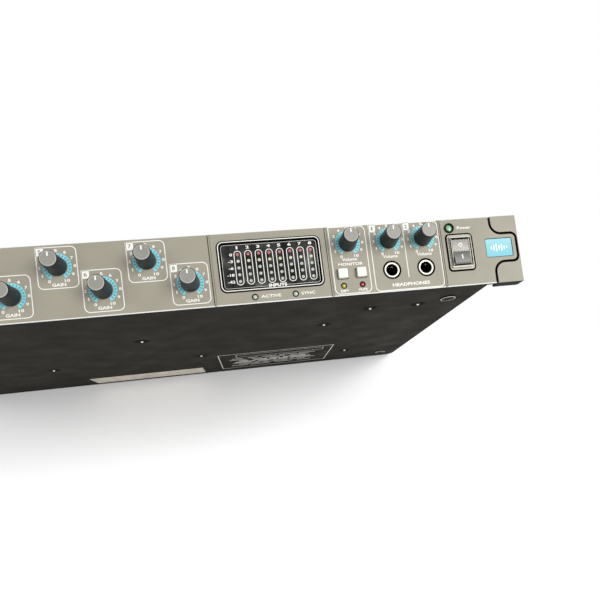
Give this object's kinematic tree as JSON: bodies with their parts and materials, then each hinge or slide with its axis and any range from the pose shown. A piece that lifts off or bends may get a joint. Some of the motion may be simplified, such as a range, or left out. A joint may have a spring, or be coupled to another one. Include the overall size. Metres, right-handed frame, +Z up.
{
  "type": "rack audio interface",
  "caption": "One-unit rack front with gain knobs, lamp meter, headphone jacks and power rocker on a folded steel case with rear audio sockets.",
  "frame": {"origin": "on the standing surface, under the middle of the overall box", "axes": "+X to the right seen from the front, +Y to the rear, +Z up"},
  "size_m": [0.4826, 0.283, 0.044],
  "materials": {
    "panel_paint": "fine satin warm-grey coat on aluminium, white print",
    "cap_moulding": "moulded black plastic, front painted to match the panel",
    "badge": "pale cyan inlay, semi-gloss",
    "black_steel": "fine black powder coat on folded steel",
    "bright_trim": "bright plated metal",
    "smoked_window": "smoked black acrylic with white print",
    "lamp_lens": "diffused lamp lenses in red, yellow and green",
    "black_plastic": "moulded black plastic",
    "gloss_black": "polished dark plastic with white marks",
    "knob_rubber": "soft-touch blue-black rubber",
    "knob_cap_grey": "light grey disc with a bright turned edge",
    "button_white": "warm white moulded plastic",
    "screw_steel": "bright zinc-plated steel",
    "foot_rubber": "black rubber",
    "circuit_board": "green solder mask",
    "component": "component bodies",
    "cable_grey": "grey ribbon insulation"
  },
  "bodies": {
    "chassis": {"board_screws": "screw_steel", "case_screws": "screw_steel", "chassis_tray": "black_steel", "coax_sockets": "bright_trim", "corner_badge": "badge", "data_ports": "bright_trim", "end_cap_left": "cap_moulding", "end_cap_right": "cap_moulding", "front_board": "circuit_board", "front_input_sockets": "black_plastic", "front_panel": "panel_paint", "indicator_leds": "lamp_lens", "jack_nuts": "bright_trim", "jack_sockets": "black_plastic", "main_board": "circuit_board", "mains_inlet": "black_plastic", "meter_bezel": "bright_trim", "meter_leds": "lamp_lens", "meter_window": "smoked_window", "midi_sockets": "black_plastic", "optical_ports": "black_plastic", "pot_bodies": "component", "power_board": "circuit_board", "power_components": "component", "power_led_holder": "black_plastic", "push_switches": "component", "rack_ears": "black_steel", "rear_input_sockets": "black_plastic", "ribbon_cable": "cable_grey", "rubber_feet": "foot_rubber", "standoffs": "screw_steel", "switch_housing": "gloss_black", "top_cover": "black_steel"},
    "gain_knob_1_body": {"gain_knob_1": "knob_rubber", "gain_knob_1_cap": "knob_cap_grey"},
    "gain_knob_2_body": {"gain_knob_2": "knob_rubber", "gain_knob_2_cap": "knob_cap_grey"},
    "gain_knob_3_body": {"gain_knob_3": "knob_rubber", "gain_knob_3_cap": "knob_cap_grey"},
    "gain_knob_4_body": {"gain_knob_4": "knob_rubber", "gain_knob_4_cap": "knob_cap_grey"},
    "gain_knob_5_body": {"gain_knob_5": "knob_rubber", "gain_knob_5_cap": "knob_cap_grey"},
    "gain_knob_6_body": {"gain_knob_6": "knob_rubber", "gain_knob_6_cap": "knob_cap_grey"},
    "gain_knob_7_body": {"gain_knob_7": "knob_rubber", "gain_knob_7_cap": "knob_cap_grey"},
    "gain_knob_8_body": {"gain_knob_8": "knob_rubber", "gain_knob_8_cap": "knob_cap_grey"},
    "monitor_knob_body": {"monitor_knob": "knob_rubber", "monitor_knob_cap": "knob_cap_grey"},
    "phones_knob_1_body": {"phones_knob_1": "knob_rubber", "phones_knob_1_cap": "knob_cap_grey"},
    "phones_knob_2_body": {"phones_knob_2": "knob_rubber", "phones_knob_2_cap": "knob_cap_grey"},
    "dim_button_body": {"dim_button": "button_white"},
    "mute_button_body": {"mute_button": "button_white"},
    "phantom_button_1_4_body": {"phantom_button_1_4": "button_white"},
    "phantom_button_5_8_body": {"phantom_button_5_8": "button_white"},
    "rocker_body": {"power_rocker": "gloss_black"}
  },
  "joints": [
    {"name": "gain_knob_1_turn", "type": "hinge", "parent": "chassis", "child": "gain_knob_1_body", "pos_m": [-0.1409, -0.1275, 0.0307], "axis": [0, 1, 0], "range_deg": [-150, 150]},
    {"name": "gain_knob_2_turn", "type": "hinge", "parent": "chassis", "child": "gain_knob_2_body", "pos_m": [-0.1175, -0.1275, 0.0153], "axis": [0, 1, 0], "range_deg": [-150, 150]},
    {"name": "gain_knob_3_turn", "type": "hinge", "parent": "chassis", "child": "gain_knob_3_body", "pos_m": [-0.0917, -0.1275, 0.0307], "axis": [0, 1, 0], "range_deg": [-150, 150]},
    {"name": "gain_knob_4_turn", "type": "hinge", "parent": "chassis", "child": "gain_knob_4_body", "pos_m": [-0.0683, -0.1275, 0.0153], "axis": [0, 1, 0], "range_deg": [-150, 150]},
    {"name": "gain_knob_5_turn", "type": "hinge", "parent": "chassis", "child": "gain_knob_5_body", "pos_m": [-0.0425, -0.1275, 0.0307], "axis": [0, 1, 0], "range_deg": [-150, 150]},
    {"name": "gain_knob_6_turn", "type": "hinge", "parent": "chassis", "child": "gain_knob_6_body", "pos_m": [-0.0191, -0.1275, 0.0153], "axis": [0, 1, 0], "range_deg": [-150, 150]},
    {"name": "gain_knob_7_turn", "type": "hinge", "parent": "chassis", "child": "gain_knob_7_body", "pos_m": [0.0067, -0.1275, 0.0307], "axis": [0, 1, 0], "range_deg": [-150, 150]},
    {"name": "gain_knob_8_turn", "type": "hinge", "parent": "chassis", "child": "gain_knob_8_body", "pos_m": [0.0301, -0.1275, 0.0153], "axis": [0, 1, 0], "range_deg": [-150, 150]},
    {"name": "monitor_knob_turn", "type": "hinge", "parent": "chassis", "child": "monitor_knob_body", "pos_m": [0.1274, -0.1275, 0.0329], "axis": [0, 1, 0], "range_deg": [-150, 150]},
    {"name": "phones_knob_1_turn", "type": "hinge", "parent": "chassis", "child": "phones_knob_1_body", "pos_m": [0.1537, -0.1275, 0.0329], "axis": [0, 1, 0], "range_deg": [-150, 150]},
    {"name": "phones_knob_2_turn", "type": "hinge", "parent": "chassis", "child": "phones_knob_2_body", "pos_m": [0.1762, -0.1275, 0.0329], "axis": [0, 1, 0], "range_deg": [-150, 150]},
    {"name": "dim_button_press", "type": "slide", "parent": "chassis", "child": "dim_button_body", "axis": [0, 1, 0], "range_m": [0, 0.0012], "stiffness_N_per_m": 600, "springref_m": -0.001},
    {"name": "mute_button_press", "type": "slide", "parent": "chassis", "child": "mute_button_body", "axis": [0, 1, 0], "range_m": [0, 0.0012], "stiffness_N_per_m": 600, "springref_m": -0.001},
    {"name": "phantom_button_1_4_press", "type": "slide", "parent": "chassis", "child": "phantom_button_1_4_body", "axis": [0, 1, 0], "range_m": [0, 0.0012], "stiffness_N_per_m": 600, "springref_m": -0.001},
    {"name": "phantom_button_5_8_press", "type": "slide", "parent": "chassis", "child": "phantom_button_5_8_body", "axis": [0, 1, 0], "range_m": [0, 0.0012], "stiffness_N_per_m": 600, "springref_m": -0.001},
    {"name": "power_rocker_tip", "type": "hinge", "parent": "chassis", "child": "rocker_body", "pos_m": [0.2005, -0.1265, 0.0218], "axis": [1, 0, 0], "range_deg": [0, 14]}
  ]
}
